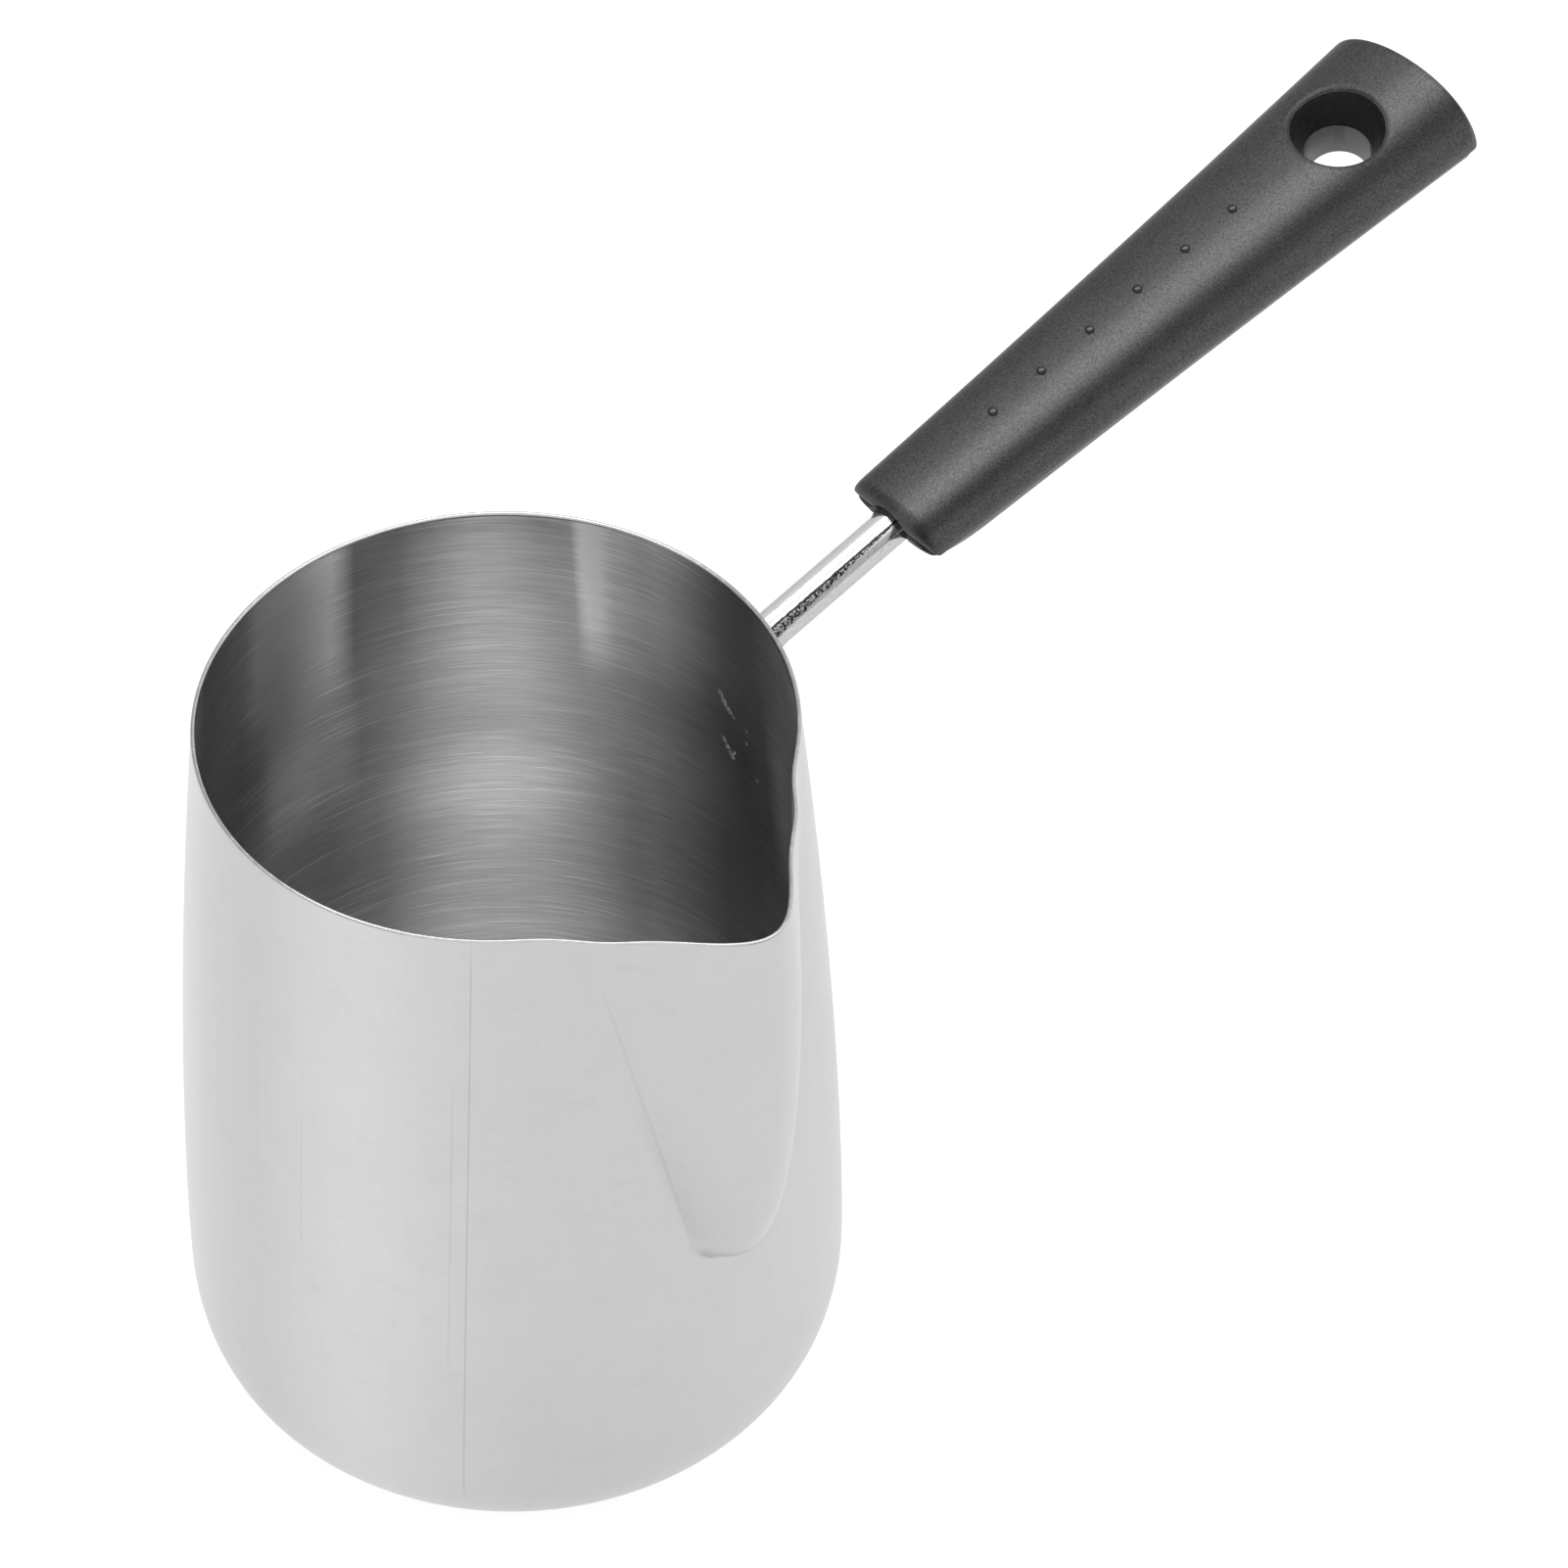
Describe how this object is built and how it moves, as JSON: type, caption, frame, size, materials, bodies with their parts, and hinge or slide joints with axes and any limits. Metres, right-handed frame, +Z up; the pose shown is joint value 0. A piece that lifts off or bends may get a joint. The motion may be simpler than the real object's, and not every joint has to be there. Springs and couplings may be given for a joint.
{
  "type": "candle melting pot",
  "caption": "Tall necked steel melting pot with a pressed pouring spout, a welded steel rod and a long black plastic grip with a hanging hole.",
  "frame": {"origin": "centre of the pot's flat base, on the surface it stands on", "axes": "+Z up through the centre of the rim, +X from the pot towards the grip, -Y towards the spout"},
  "size_m": [0.2343, 0.1054, 0.1377],
  "materials": {
    "pot_steel": "satin outside, fine circumferential brushing inside",
    "rod_steel": "polished",
    "weld_steel": "dull, as welded",
    "grip_plastic": "fine moulded grain, soft sheen",
    "screw_steel": "zinc plated"
  },
  "bodies": {
    "root": {"pot_body": "pot_steel", "handle_rod": "rod_steel", "upper_weld_nugget": "weld_steel", "lower_weld_nugget": "weld_steel", "grip_upper_shell": "grip_plastic", "grip_lower_shell": "grip_plastic", "grip_screw_front": "screw_steel", "grip_screw_rear": "screw_steel"}
  },
  "joints": []
}
